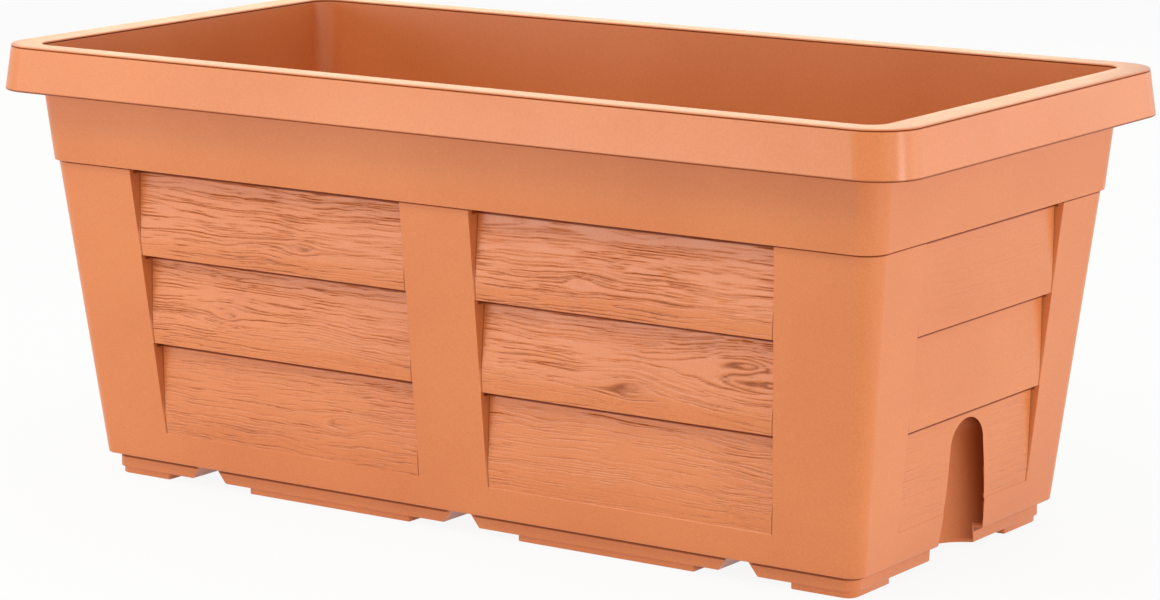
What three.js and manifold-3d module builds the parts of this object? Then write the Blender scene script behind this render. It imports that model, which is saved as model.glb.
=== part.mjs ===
// Window box planter with a timber look: one thin-walled moulded tub on a low foot ring, with lapped plank
// panels between posts on all four sides, a downturned carrying rim, a half-round niche in each end, and
// eight drain plugs that pull out of the floor.
//
// Millimetres, +Z up. X runs along the planter, the front faces -Y. The origin is on the ground, under the
// middle of the planter.

import * as THREE from 'three';
import { mergeVertices } from 'three/addons/utils/BufferGeometryUtils.js';
import Module from 'manifold-3d';

const wasm = await Module();
wasm.setup();

// ---------------------------------------------------------------- driving dimensions

// The rim, measured outside at the bottom edge of its skirt
const rimLength = 600;
const rimWidth = 302.4;
const rimCornerRadius = 26;
const skirtHeight = 26.1;
const skirtFlare = 2.8; // how far the skirt leans out from its top to its bottom edge
const rimEdgeRadius = 1.4; // rounding of the rim's top outer edge
const rimLipRadius = 1; // rounding of the mouth's edge

// Heights of the other zones, from the ground up
const padHeight = 3.9;
const footRingHeight = 8.8;
const panelZoneHeight = 174; // posts, planks and bottom rail
const bandHeight = 41.1; // plain band between the panels and the rim's skirt

// Widths, each one inward from the zone above it
const rimOverhangEnd = 20.6; // skirt's bottom edge to the band, at the ends
const rimOverhangSide = 17.3; // and on the long sides
const bandFlareEnd = 3.4; // how far the band leans out over its height
const bandFlareSide = 3.9;
const bandStepEnd = 1.6; // step in under the band
const bandStepSide = 3.1;
const panelTaper = 18.4; // how far each wall leans in from the band to its foot
const footRingInset = 5.4;
const padInset = 1.8;

// Upright corner rounding of each zone
const bandCornerRadius = 14;
const panelCornerRadius = 12;
const footCornerRadius = 9;
const padCornerRadius = 6;

// The shell
const wallThickness = 2.8;

// Posts and planks. Heights run from the bottom plank up
const bottomRailHeight = 17.7;
const plankHeights = [53.8, 51.7, 50.8];
const sidePostTopWidth = 59.4; // corner post seen from the long side, under the band
const sidePostFootWidth = 52.1; // and at the bottom rail
const centrePostWidth = 46;
const endPostTopWidth = 47.9; // corner post seen from the end
const endPostFootWidth = 41.4;
const sidePlankTopRecess = 8.6; // a plank's face behind the posts' faces
const sidePlankFootRecess = 0.4;
const endPlankTopRecess = 5.4;
const endPlankFootRecess = 0.4;
const recessDraft = 0.09; // sideways slope of a recess's flanks, per millimetre of depth

// Niche in the foot of each end wall
const nicheFootHalfWidth = 24.6;
const nicheShoulderHalfWidth = 17.9;
const nicheShoulderHeight = 64;
const nicheHeight = 79;
const nicheDepth = 22; // behind the wall's foot
const nicheMouthOut = 2.5; // the niche is widest this far in front of the wall's foot

// Air channels that cross under the base, and the pads between them
const channelCount = 3;
const endBayLength = 70.6; // from the outer channels' middles to the ends of the foot ring
const channelFootWidth = 25;
const channelRoofWidth = 11.5;
const channelHeight = 8.3;
const padDepth = 38.7;
const padToInnerChannel = 37; // from a long pad to the middle of the channel on its inner side
const padToOuterChannel = 28.5;
const cornerPadLength = 37.5;

// Drain holes and their plugs, two in the middle of each bay of the floor
const drainHoleRadius = 8;
const drainRowOffset = 46; // each row from the planter's middle line
const plugClearance = 0.3;
const plugSeatGap = 0.3;
const plugFlangeOverlap = 4; // plug head past the hole's edge
const plugHeadHeight = 2;
const plugEdgeChamfer = 0.6;
const plugStemBelowFloor = 1.9;
const plugStemWall = 1.8;
const plugTabLength = 15;
const plugTabHeight = 7;
const plugTabThickness = 3;

// Fineness of round faces
const cornerSteps = 6;
const edgeSteps = 3;
const nicheSteps = 28;
const domeSteps = 5;
const roundSteps = 24;

// ---------------------------------------------------------------- derived levels

const wallFootZ = padHeight + footRingHeight;
const bandFootZ = wallFootZ + panelZoneHeight;
const skirtFootZ = bandFootZ + bandHeight;
const rimTopZ = skirtFootZ + skirtHeight;
const floorZ = padHeight + wallThickness;

// A level is one rounded rectangle: height, half length, half width and corner radius.
function level(z, halfLength, halfWidth, radius) {
  return { z, halfLength, halfWidth, radius };
}

// The same level moved inward by an amount, and up or down by another.
function inset(source, amount, rise = 0) {
  return level(
    source.z + rise,
    source.halfLength - amount,
    source.halfWidth - amount,
    Math.max(source.radius - amount, 1),
  );
}

// The level between two others at a given height, also beyond them.
function levelAt(low, high, z) {
  const t = (z - low.z) / (high.z - low.z);
  return level(
    z,
    low.halfLength + (high.halfLength - low.halfLength) * t,
    low.halfWidth + (high.halfWidth - low.halfWidth) * t,
    low.radius + (high.radius - low.radius) * t,
  );
}

const skirtFoot = level(skirtFootZ, rimLength / 2, rimWidth / 2, rimCornerRadius);
const skirtTop = { ...inset(skirtFoot, skirtFlare, skirtHeight), radius: rimCornerRadius };
const bandTop = level(
  skirtFootZ,
  skirtFoot.halfLength - rimOverhangEnd,
  skirtFoot.halfWidth - rimOverhangSide,
  bandCornerRadius,
);
const bandFoot = level(
  bandFootZ,
  bandTop.halfLength - bandFlareEnd,
  bandTop.halfWidth - bandFlareSide,
  bandCornerRadius,
);
const panelTop = level(
  bandFootZ,
  bandFoot.halfLength - bandStepEnd,
  bandFoot.halfWidth - bandStepSide,
  panelCornerRadius,
);
const panelFoot = level(
  wallFootZ,
  panelTop.halfLength - panelTaper,
  panelTop.halfWidth - panelTaper,
  footCornerRadius,
);
const ringTop = level(
  wallFootZ,
  panelFoot.halfLength - footRingInset,
  panelFoot.halfWidth - footRingInset,
  padCornerRadius + padInset,
);
const padRing = level(0, ringTop.halfLength - padInset, ringTop.halfWidth - padInset, padCornerRadius);

// ---------------------------------------------------------------- solids from rings of points

// A closed solid whose side runs through a list of rings with equal numbers of points.
function skin(rings) {
  const count = rings[0].length;
  const positions = rings.flat().flatMap((point) => [point.x, point.y, point.z]);
  const index = [];
  for (let ring = 0; ring + 1 < rings.length; ring += 1) {
    for (let side = 0; side < count; side += 1) {
      const a = ring * count + side;
      const b = ring * count + ((side + 1) % count);
      index.push(a, b, b + count, a, b + count, a + count);
    }
  }
  const last = (rings.length - 1) * count;
  for (let side = 1; side + 1 < count; side += 1) {
    index.push(0, side + 1, side);
    index.push(last, last + side, last + side + 1);
  }
  const geometry = new THREE.BufferGeometry();
  geometry.setAttribute('position', new THREE.Float32BufferAttribute(positions, 3));
  geometry.setIndex(index);
  return geometry;
}

// Turns a closed geometry into a solid that can be joined and cut.
function solid(geometry) {
  const bare = geometry.clone();
  bare.deleteAttribute('normal');
  bare.deleteAttribute('uv');
  const merged = mergeVertices(bare, 1e-4);
  const corners = merged.attributes.position.array;
  const triangles = Uint32Array.from(merged.index.array);
  if (signedVolume(corners, triangles) < 0) {
    triangles.reverse();
  }
  return new wasm.Manifold(new wasm.Mesh({
    numProp: 3,
    vertProperties: Float32Array.from(corners),
    triVerts: triangles,
  }));
}

function signedVolume(corners, triangles) {
  const [a, b, c] = [new THREE.Vector3(), new THREE.Vector3(), new THREE.Vector3()];
  let volume = 0;
  for (let i = 0; i < triangles.length; i += 3) {
    a.fromArray(corners, triangles[i] * 3);
    b.fromArray(corners, triangles[i + 1] * 3);
    c.fromArray(corners, triangles[i + 2] * 3);
    volume += a.dot(b.cross(c)) / 6;
  }
  return volume;
}

// The geometry of a finished solid, flat shaded.
function geometryOf(body) {
  const mesh = body.getMesh();
  const geometry = new THREE.BufferGeometry();
  geometry.setAttribute('position', new THREE.BufferAttribute(Float32Array.from(mesh.vertProperties), 3));
  geometry.setIndex(new THREE.BufferAttribute(Uint32Array.from(mesh.triVerts), 1));
  return geometry;
}

function joinAll(bodies) {
  return bodies.reduce((whole, body) => whole.add(body));
}

// The points of a rounded rectangle, anticlockwise seen from above.
function roundedRectangle({ z, halfLength, halfWidth, radius }) {
  const points = [];
  for (const [corner, [signX, signY]] of [[1, 1], [-1, 1], [-1, -1], [1, -1]].entries()) {
    const centreX = signX * (halfLength - radius);
    const centreY = signY * (halfWidth - radius);
    for (let step = 0; step <= cornerSteps; step += 1) {
      const angle = (corner + step / cornerSteps) * Math.PI / 2;
      points.push(new THREE.Vector3(centreX + radius * Math.cos(angle), centreY + radius * Math.sin(angle), z));
    }
  }
  return points;
}

function loft(levels) {
  return solid(skin(levels.map(roundedRectangle)));
}

// A box with its own rectangle at each end of its height; low and high are [minX, maxX, minY, maxY, z].
function taperedBox(low, high) {
  const ring = ([minX, maxX, minY, maxY, z]) => [
    new THREE.Vector3(minX, minY, z),
    new THREE.Vector3(maxX, minY, z),
    new THREE.Vector3(maxX, maxY, z),
    new THREE.Vector3(minX, maxY, z),
  ];
  return solid(skin([ring(low), ring(high)]));
}

// ---------------------------------------------------------------- planks

const beyond = 6; // how far a cutter stands out of the face that it cuts

// The heights between which each plank lies, from the bottom plank up.
function plankSpans() {
  const spans = [];
  let foot = wallFootZ + bottomRailHeight;
  for (const height of plankHeights) {
    spans.push([foot, foot + height]);
    foot += height;
  }
  spans[spans.length - 1][1] = bandFootZ;
  return spans;
}

const panelLowZ = wallFootZ + bottomRailHeight;

function lerpOverPanel(footValue, topValue, z) {
  return THREE.MathUtils.lerp(footValue, topValue, (z - panelLowZ) / (bandFootZ - panelLowZ));
}

// One ring of a plank's cutter: the space in front of the plank at height z, between the two edges of its
// bay. The wall's face is at `face`, measured out from the planter's middle, and the plank lies `recess`
// behind it. grow is zero outside, and the wall's thickness for the inside of the shell.
function plankRing(z, face, recess, edges, grow) {
  const depth = recess + grow;
  const back = face - depth;
  const front = face + beyond;
  const lean = recessDraft * depth;
  const leanOut = recessDraft * beyond;
  return [
    [edges[0] - grow - leanOut, front],
    [edges[1] + grow + leanOut, front],
    [edges[1] + grow - lean, back],
    [edges[0] - grow + lean, back],
  ].map(([along, out]) => ({ along, out, z }));
}

// The space in front of one plank, as a cutter for its wall. Outside, the plank leans out to its foot, where
// it laps over the next one. Inside, its face is upright, so that the moulding's core can leave, and the
// space goes on for the wall's thickness past both its edges, so that no lap is thinner than the wall.
function plankCutter([foot, top], faceAt, [footRecess, topRecess], edgesAt, grow, place) {
  const innerFootRecess = topRecess - (faceAt(top) - faceAt(foot));
  const lowRecess = grow > 0 ? innerFootRecess : footRecess;
  const recessAt = (z) => THREE.MathUtils.lerp(lowRecess, topRecess, (z - foot) / (top - foot));
  const rings = [foot - grow, top + grow].map((z) => plankRing(z, faceAt(z), recessAt(z), edgesAt(z), grow));
  return solid(skin(rings.map((ring) => ring.map(place))));
}

const panelAt = (z) => levelAt(panelFoot, panelTop, z);

// Cutters for every plank of the planter.
function allPlanks(grow) {
  const cutters = [];
  const sideRecesses = [sidePlankFootRecess, sidePlankTopRecess];
  const endRecesses = [endPlankFootRecess, endPlankTopRecess];
  const bayOuterEdge = (z) => panelAt(z).halfLength - lerpOverPanel(sidePostFootWidth, sidePostTopWidth, z);
  const endEdge = (z) => panelAt(z).halfWidth - lerpOverPanel(endPostFootWidth, endPostTopWidth, z);
  for (const span of plankSpans()) {
    for (const out of [-1, 1]) {
      for (const half of [-1, 1]) {
        const place = ({ along, out: distance, z }) => new THREE.Vector3(half * along, out * distance, z);
        const edgesAt = (z) => [centrePostWidth / 2, bayOuterEdge(z)];
        const faceAt = (z) => panelAt(z).halfWidth;
        cutters.push(plankCutter(span, faceAt, sideRecesses, edgesAt, grow, place));
      }
      const place = ({ along, out: distance, z }) => new THREE.Vector3(out * distance, along, z);
      const edgesAt = (z) => [-endEdge(z), endEdge(z)];
      const faceAt = (z) => panelAt(z).halfLength;
      cutters.push(plankCutter(span, faceAt, endRecesses, edgesAt, grow, place));
    }
  }
  return joinAll(cutters);
}

// ---------------------------------------------------------------- niches, channels and pads

// The space of one niche: upright, narrowing to its shoulder, with a domed head.
function niche(side, grow) {
  const middle = panelFoot.halfLength + nicheMouthOut;
  const halfDepth = nicheDepth + nicheMouthOut + grow;
  const footHalf = nicheFootHalfWidth + grow;
  const shoulderHalf = nicheShoulderHalfWidth + grow;
  const domeHeight = nicheHeight + grow - nicheShoulderHeight;
  const slope = (footHalf - shoulderHalf) / (nicheShoulderHeight - wallFootZ);
  const footZ = -beyond;
  const profile = [[footZ, footHalf + slope * (wallFootZ - footZ), 1]];
  for (let step = 0; step < domeSteps; step += 1) {
    const angle = (step / domeSteps) * Math.PI / 2;
    profile.push([
      nicheShoulderHeight + domeHeight * Math.sin(angle),
      shoulderHalf * Math.cos(angle),
      Math.cos(angle),
    ]);
  }
  const crownAngle = (1 - 0.25 / domeSteps) * Math.PI / 2;
  profile.push([nicheHeight + grow, shoulderHalf * Math.cos(crownAngle), Math.cos(crownAngle)]);
  const rings = profile.map(([z, halfWidth, depthShare]) => {
    const ring = [];
    for (let step = 0; step < nicheSteps; step += 1) {
      const angle = (step / nicheSteps) * Math.PI * 2;
      ring.push(new THREE.Vector3(
        side * (middle + halfDepth * depthShare * Math.cos(angle)),
        halfWidth * Math.sin(angle),
        z,
      ));
    }
    return ring;
  });
  return solid(skin(rings));
}

// One air channel across the base, with sloping flanks.
function channel(middleX, grow) {
  const roofHalf = channelRoofWidth / 2 + grow;
  const footHalf = channelFootWidth / 2 + grow;
  const slope = (footHalf - roofHalf) / channelHeight;
  const reach = ringTop.halfWidth + beyond;
  const lowZ = padHeight - beyond;
  const lowHalf = footHalf + slope * beyond;
  const roofZ = padHeight + channelHeight + grow;
  return taperedBox(
    [middleX - lowHalf, middleX + lowHalf, -reach, reach, lowZ],
    [middleX - roofHalf, middleX + roofHalf, -reach, reach, roofZ],
  );
}

// Where the channels cross the base, from left to right.
function channelMiddles() {
  const first = endBayLength - ringTop.halfLength;
  const spacing = (-2 * first) / (channelCount - 1);
  return Array.from({ length: channelCount }, (_, number) => first + number * spacing);
}

// Plan rectangles of the pads in the quarter of the base towards +X and +Y, as [minX, maxX, minY, maxY].
function quarterPads() {
  const edgeX = padRing.halfLength;
  const edgeY = padRing.halfWidth;
  const middles = channelMiddles().slice(Math.floor(channelCount / 2));
  const rectangles = [[edgeX - cornerPadLength, edgeX, edgeY - padDepth, edgeY]];
  for (let number = 0; number + 1 < middles.length; number += 1) {
    const start = middles[number] + padToInnerChannel;
    const end = middles[number + 1] - padToOuterChannel;
    rectangles.push([start, end, edgeY - padDepth, edgeY]);
  }
  return rectangles;
}

// All the pads, from zLow up to zHigh, drawn in by an amount on every side.
function pads(zLow, zHigh, amount) {
  const edge = inset(padRing, amount);
  const outline = loft([{ ...edge, z: zLow }, { ...edge, z: zHigh }]);
  const blocks = [];
  for (const [minX, maxX, minY, maxY] of quarterPads()) {
    for (const signX of [-1, 1]) {
      for (const signY of [-1, 1]) {
        const xs = [signX * (minX + amount), signX * (maxX - amount)].sort((p, q) => p - q);
        const ys = [signY * (minY + amount), signY * (maxY - amount)].sort((p, q) => p - q);
        blocks.push(taperedBox([...xs, ...ys, zLow], [...xs, ...ys, zHigh]));
      }
    }
  }
  return outline.intersect(joinAll(blocks));
}

// ---------------------------------------------------------------- tub

// Levels that round an edge: from `start` the outline turns in by `radius` while it rises by as much.
function roundedEdge(start, radius) {
  const levels = [];
  for (let step = 1; step <= edgeSteps; step += 1) {
    const angle = (step / edgeSteps) * Math.PI / 2;
    levels.push(inset(start, radius * (1 - Math.cos(angle)), radius * Math.sin(angle)));
  }
  return levels;
}

// The mouth's edge opens out by `radius` as it reaches the top.
function flaredEdge(start, radius) {
  const levels = [];
  for (let step = 1; step <= edgeSteps; step += 1) {
    const angle = (step / edgeSteps) * Math.PI / 2;
    levels.push(inset(start, -radius * (1 - Math.cos(angle)), radius * Math.sin(angle)));
  }
  return levels;
}

// The middles of the drain holes: two in each floor bay, between a channel and the next or the ring's end.
function drainPlaces() {
  const edges = [-ringTop.halfLength, ...channelMiddles(), ringTop.halfLength];
  const places = [];
  for (let bay = 0; bay + 1 < edges.length; bay += 1) {
    const x = (edges[bay] + edges[bay + 1]) / 2;
    places.push([x, -drainRowOffset], [x, drainRowOffset]);
  }
  return places;
}

function upright(radius, zLow, zHigh, [x, y]) {
  const geometry = new THREE.CylinderGeometry(radius, radius, zHigh - zLow, roundSteps);
  geometry.rotateX(Math.PI / 2);
  geometry.translate(x, y, (zLow + zHigh) / 2);
  return solid(geometry);
}

function makeTub() {
  const bandAt = (z) => levelAt(bandFoot, bandTop, z);

  const wall = loft([panelFoot, { ...panelTop, z: bandFootZ + wallThickness }]);
  const band = loft([bandFoot, bandAt(rimTopZ - wallThickness / 2)]);
  const skirtShoulder = levelAt(skirtFoot, skirtTop, rimTopZ - rimEdgeRadius);
  const rim = loft([skirtFoot, skirtShoulder, ...roundedEdge(skirtShoulder, rimEdgeRadius)]);
  const underRimTop = rimTopZ - wallThickness;
  const skirtInside = inset(skirtFoot, wallThickness, -beyond);
  const skirtInsideTop = inset(levelAt(skirtFoot, skirtTop, underRimTop), wallThickness);
  const rimShell = rim.subtract(loft([skirtInside, skirtInsideTop]));
  const ring = loft([inset(ringTop, 0, padHeight - wallFootZ), { ...ringTop, z: wallFootZ + wallThickness }]);

  let outside = joinAll([wall, band, rimShell, ring, pads(0, padHeight + wallThickness / 2, 0)]);
  outside = outside.subtract(allPlanks(0));
  outside = outside.subtract(niche(-1, 0)).subtract(niche(1, 0));
  for (const middleX of channelMiddles()) {
    outside = outside.subtract(channel(middleX, 0));
  }

  const innerRing = inset(ringTop, wallThickness);
  const innerWallFoot = inset(panelAt(wallFootZ + wallThickness), wallThickness);
  const innerWallTop = inset(panelAt(bandFootZ), wallThickness);
  const innerBandFoot = inset(bandAt(bandFootZ + wallThickness), wallThickness);
  const lipStart = inset(bandAt(rimTopZ - rimLipRadius), wallThickness);
  const floorSpace = loft([{ ...innerRing, z: floorZ }, { ...innerRing, z: wallFootZ + 2 * wallThickness }]);
  const wallSpace = loft([innerWallFoot, { ...innerWallTop, z: bandFootZ + 2 * wallThickness }]);
  const lipLevels = flaredEdge(lipStart, rimLipRadius);
  const mouth = { ...lipLevels[lipLevels.length - 1], z: rimTopZ + beyond };
  const bandSpace = loft([innerBandFoot, lipStart, ...lipLevels, mouth]);

  let inside = joinAll([floorSpace, wallSpace, bandSpace]);
  inside = inside.subtract(allPlanks(wallThickness));
  inside = inside.subtract(niche(-1, wallThickness)).subtract(niche(1, wallThickness));
  for (const middleX of channelMiddles()) {
    inside = inside.subtract(channel(middleX, wallThickness));
  }
  inside = inside.add(pads(wallThickness, floorZ + wallThickness / 2, wallThickness));

  let tub = outside.subtract(inside);
  for (const place of drainPlaces()) {
    tub = tub.subtract(upright(drainHoleRadius, 0, floorZ + wallThickness, place));
  }
  return tub;
}

// ---------------------------------------------------------------- drain plug

// A push-in plug: flat head on the floor, hollow stem through the hole and a tab to pull it by.
// Its own origin is the middle of the head's underside.
function makePlug() {
  const stemRadius = drainHoleRadius - plugClearance;
  const headRadius = drainHoleRadius + plugFlangeOverlap;
  const stemFootZ = -(plugSeatGap + wallThickness + plugStemBelowFloor);
  const stemBore = stemRadius - plugStemWall;
  const profile = [
    [0, 0],
    [stemBore, 0],
    [stemBore, stemFootZ],
    [stemRadius - plugEdgeChamfer, stemFootZ],
    [stemRadius, stemFootZ + plugEdgeChamfer],
    [stemRadius, 0],
    [headRadius, 0],
    [headRadius, plugHeadHeight - plugEdgeChamfer],
    [headRadius - plugEdgeChamfer, plugHeadHeight],
    [0, plugHeadHeight],
  ].map(([radius, z]) => new THREE.Vector2(radius, z));
  const turned = new THREE.LatheGeometry(profile, roundSteps);
  turned.rotateX(Math.PI / 2);

  const tabOutline = new THREE.Shape();
  tabOutline.moveTo(-plugTabLength / 2, 0);
  tabOutline.lineTo(plugTabLength / 2, 0);
  tabOutline.absellipse(0, 0, plugTabLength / 2, plugTabHeight, 0, Math.PI, false, 0);
  const tab = new THREE.ExtrudeGeometry(tabOutline, {
    depth: plugTabThickness,
    bevelEnabled: false,
    curveSegments: 8,
  });
  tab.translate(0, 0, -plugTabThickness / 2);
  tab.rotateX(Math.PI / 2);
  tab.translate(0, 0, plugHeadHeight / 2);
  return solid(turned).add(solid(tab));
}

// ---------------------------------------------------------------- assembly

const tubPlastic = new THREE.MeshStandardMaterial({ color: 0xdb8a60, roughness: 0.5, metalness: 0 });
const plugPlastic = new THREE.MeshStandardMaterial({ color: 0x8a4a30, roughness: 0.55, metalness: 0 });

const planter = new THREE.Group();

const tub = new THREE.Mesh(geometryOf(makeTub()), tubPlastic);
tub.name = 'tub';
planter.add(tub);

const plugGeometry = geometryOf(makePlug());
for (const [number, [x, y]] of drainPlaces().entries()) {
  const plug = new THREE.Mesh(plugGeometry, plugPlastic);
  plug.name = `drain_plug_${number + 1}`;
  plug.position.set(x, y, floorZ + plugSeatGap);
  planter.add(plug);
}

export default planter;
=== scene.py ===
"""Window box planter with a timber look, dressed for its photograph.

A moulded tub with pressed wood grain on its lapped planks and eight drain plugs, on a pale studio floor in
soft light, seen by the photograph's camera. Lengths are in millimetres where nothing else is said.
"""

import math
from collections import namedtuple

import bpy
import numpy as np
from mathutils import Matrix, Vector


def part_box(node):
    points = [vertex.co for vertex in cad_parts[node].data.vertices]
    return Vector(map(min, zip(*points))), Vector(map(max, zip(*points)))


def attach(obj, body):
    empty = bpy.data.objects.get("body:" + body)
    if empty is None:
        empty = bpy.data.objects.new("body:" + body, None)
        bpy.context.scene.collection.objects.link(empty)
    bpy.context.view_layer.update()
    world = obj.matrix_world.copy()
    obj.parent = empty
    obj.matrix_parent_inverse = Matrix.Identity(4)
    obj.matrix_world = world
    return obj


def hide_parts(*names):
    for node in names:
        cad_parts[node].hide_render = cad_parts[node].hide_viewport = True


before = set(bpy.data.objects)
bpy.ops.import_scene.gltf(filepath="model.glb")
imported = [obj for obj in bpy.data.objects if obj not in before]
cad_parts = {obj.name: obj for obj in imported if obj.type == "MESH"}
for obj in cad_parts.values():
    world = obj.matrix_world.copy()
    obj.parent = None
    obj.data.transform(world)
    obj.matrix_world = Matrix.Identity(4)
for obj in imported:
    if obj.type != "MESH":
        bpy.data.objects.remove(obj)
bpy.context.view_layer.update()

MM = 0.001

# ---------------------------------------------------------------- sizes

tub_low, tub_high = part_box("tub")
RIM_LENGTH = (tub_high.x - tub_low.x) / MM
RIM_WIDTH = (tub_high.y - tub_low.y) / MM
RIM_TOP = tub_high.z / MM
RIM_RADIUS = 26
SKIRT_HEIGHT = 26.1
SKIRT_FLARE = 2.8
BAND_HEIGHT = 41.1
PAD_HEIGHT = 3.9
FOOT_RING_HEIGHT = 8.8
OVERHANG_END, OVERHANG_SIDE = 20.6, 17.3
BAND_FLARE_END, BAND_FLARE_SIDE = 3.4, 3.9
STEP_END, STEP_SIDE = 1.6, 3.1
PANEL_TAPER = 18.4
RING_INSET = 5.4
PAD_INSET = 1.8
BAND_RADIUS = 14
PANEL_RADIUS = 12
FOOT_RADIUS = 9
PAD_RADIUS = 6
WALL = 2.8

RAIL_HEIGHT = 17.7
PLANK_HEIGHTS = (53.8, 51.7)  # the top plank takes what is left
SIDE_POST_TOP, SIDE_POST_FOOT = 59.4, 52.1
CENTRE_POST = 46
END_POST_TOP, END_POST_FOOT = 52.0, 40.0
SIDE_RECESS, END_RECESS = 8.6, 5.4  # a plank's top edge behind the posts
LOW_PLANK_SHARE = 0.85  # the lowest plank leans in by this share of that
FOOT_RECESS = 0.25  # a plank's foot behind the posts
FLUSH_FOOT = 9  # height over which a plank stays that close to the posts' faces
FLUSH_EASE = 0.8  # how softly it turns from there

NICHE_FOOT_HALF = 24.6
NICHE_SHOULDER_HALF = 17.9
NICHE_SHOULDER_Z = 64
NICHE_TOP_Z = 79
NICHE_DEPTH = 22
NICHE_OUT = 2.5

CHANNEL_COUNT = 3
END_BAY = 70.6
CHANNEL_FOOT = 25
CHANNEL_ROOF = 11.5
CHANNEL_HEIGHT = 8.3
PAD_DEPTH = 38.7
PAD_TO_INNER = 37
PAD_TO_OUTER = 28.5
CORNER_PAD = 37.5

HOLE_RADIUS = 8
DRAIN_ROW = 46
PLUG_CLEARANCE = 0.3
PLUG_GAP = 0.3
PLUG_FLANGE = 4
PLUG_HEAD = 2
PLUG_BELOW_FLOOR = 1.9
PLUG_STEM_WALL = 1.8
TAB_LENGTH, TAB_HEIGHT, TAB_THICKNESS = 15, 7, 3

# Rounding of moulded edges
EDGE = 0.7
PLANK_EDGE = 0.35
RIM_EDGE = 0.55
LIP_EDGE = 0.7
PLUG_EDGE = 0.7
PAD_EDGE = 1.2  # a pad's corners, except at the tub's own corners
FILLET = 0.3  # in the angle between two faces
UNDER_RIM_FILLET = 1

RIM_GROOVE = 0.45  # depth of the fine line pressed round the rim under both its edges
HEAD_GROOVE = 0.35  # depth of the ring pressed into a plug's head

# Heights that follow
FLOOR_UNDER = PAD_HEIGHT
FLOOR_TOP = PAD_HEIGHT + WALL
WALL_FOOT = PAD_HEIGHT + FOOT_RING_HEIGHT
UNDER_RIM = RIM_TOP - WALL
SKIRT_FOOT = RIM_TOP - SKIRT_HEIGHT
BAND_FOOT = SKIRT_FOOT - BAND_HEIGHT
RAIL_TOP = WALL_FOOT + RAIL_HEIGHT
SEAMS = [RAIL_TOP, RAIL_TOP + PLANK_HEIGHTS[0], RAIL_TOP + sum(PLANK_HEIGHTS), BAND_FOOT]
PLANKS = list(zip(SEAMS, SEAMS[1:]))

# ---------------------------------------------------------------- outlines of the tub, level by level

Outline = namedtuple("Outline", "z half_length half_width radius")
LEAST_RADIUS = 1


def inset(outline, amount, z=None):
    """The same outline drawn in by an amount, at another height if one is given."""
    return Outline(
        outline.z if z is None else z,
        outline.half_length - amount,
        outline.half_width - amount,
        max(outline.radius - amount, LEAST_RADIUS),
    )


def mixed(first, second, t, z=None):
    """The outline a share t of the way from the first to the second, at another height if one is given."""
    blend = [a + (b - a) * t for a, b in zip(first, second)]
    if z is not None:
        blend[0] = z
    return Outline(*blend)


def between(low, high, z):
    """The outline at a height on the straight line through two others."""
    return mixed(low, high, (z - low.z) / (high.z - low.z), z)


skirt_foot = Outline(SKIRT_FOOT, RIM_LENGTH / 2, RIM_WIDTH / 2, RIM_RADIUS)
skirt_top = inset(skirt_foot, SKIRT_FLARE, RIM_TOP)._replace(radius=RIM_RADIUS)
band_top = Outline(
    SKIRT_FOOT, skirt_foot.half_length - OVERHANG_END, skirt_foot.half_width - OVERHANG_SIDE, BAND_RADIUS
)
band_foot = Outline(
    BAND_FOOT, band_top.half_length - BAND_FLARE_END, band_top.half_width - BAND_FLARE_SIDE, BAND_RADIUS
)
panel_top = Outline(
    BAND_FOOT, band_foot.half_length - STEP_END, band_foot.half_width - STEP_SIDE, PANEL_RADIUS
)
panel_foot = Outline(
    WALL_FOOT, panel_top.half_length - PANEL_TAPER, panel_top.half_width - PANEL_TAPER, FOOT_RADIUS
)
ring_top = inset(panel_foot, RING_INSET)._replace(radius=PAD_RADIUS + PAD_INSET)
pad_ring = inset(ring_top, PAD_INSET, 0)._replace(radius=PAD_RADIUS)


def panel_at(z):
    return between(panel_foot, panel_top, z)


def band_at(z):
    return between(band_foot, band_top, z)


def skirt_at(z):
    return between(skirt_foot, skirt_top, z)


def quarter_turn(steps, first=1):
    """Cosines and sines of a quarter turn in even steps."""
    angles = [step / steps * math.pi / 2 for step in range(first, steps + 1)]
    return [(math.cos(angle), math.sin(angle)) for angle in angles]


def rounded(start, end, steps=3):
    """Outlines of a rounded edge after start, turning from level to upright."""
    height = end.z - start.z
    return [mixed(start, end, sin, start.z + height * (1 - cos)) for cos, sin in quarter_turn(steps)]


# ---------------------------------------------------------------- wood grain, from seeded noise

HASH_X, HASH_Y, HASH_SEED, HASH_MIX = 374761393, 668265263, 974634777, 1274126177
LOW_32_BITS, LOW_16_BITS = 0xFFFFFFFF, 0xFFFF


def noise(x, y, seed):
    """Smooth random field between 0 and 1 on numpy arrays, one lattice cell per unit."""
    x0, y0 = np.floor(x).astype(np.int64), np.floor(y).astype(np.int64)
    fx, fy = x - x0, y - y0
    fx, fy = fx * fx * (3 - 2 * fx), fy * fy * (3 - 2 * fy)

    def lattice(i, j):
        h = (i * HASH_X + j * HASH_Y + seed * HASH_SEED) & LOW_32_BITS
        h = ((h ^ (h >> 13)) * HASH_MIX) & LOW_32_BITS
        return ((h ^ (h >> 16)) & LOW_16_BITS) / LOW_16_BITS

    low = lattice(x0, y0) * (1 - fx) + lattice(x0 + 1, y0) * fx
    high = lattice(x0, y0 + 1) * (1 - fx) + lattice(x0 + 1, y0 + 1) * fx
    return low * (1 - fy) + high * fy


def smooth(low, high, value):
    """0 at low and 1 at high, with a smooth change between them and none beyond."""
    t = np.clip((value - low) / (high - low), 0, 1)
    return t * t * (3 - 2 * t)


# Waves that bend the grain: height, length, spacing and seed, which is added to the plank's
WAVES = ((9.0, 110, 70, 0), (2.6, 30, 12, 1), (0.9, 8, 5, 6))

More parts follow.
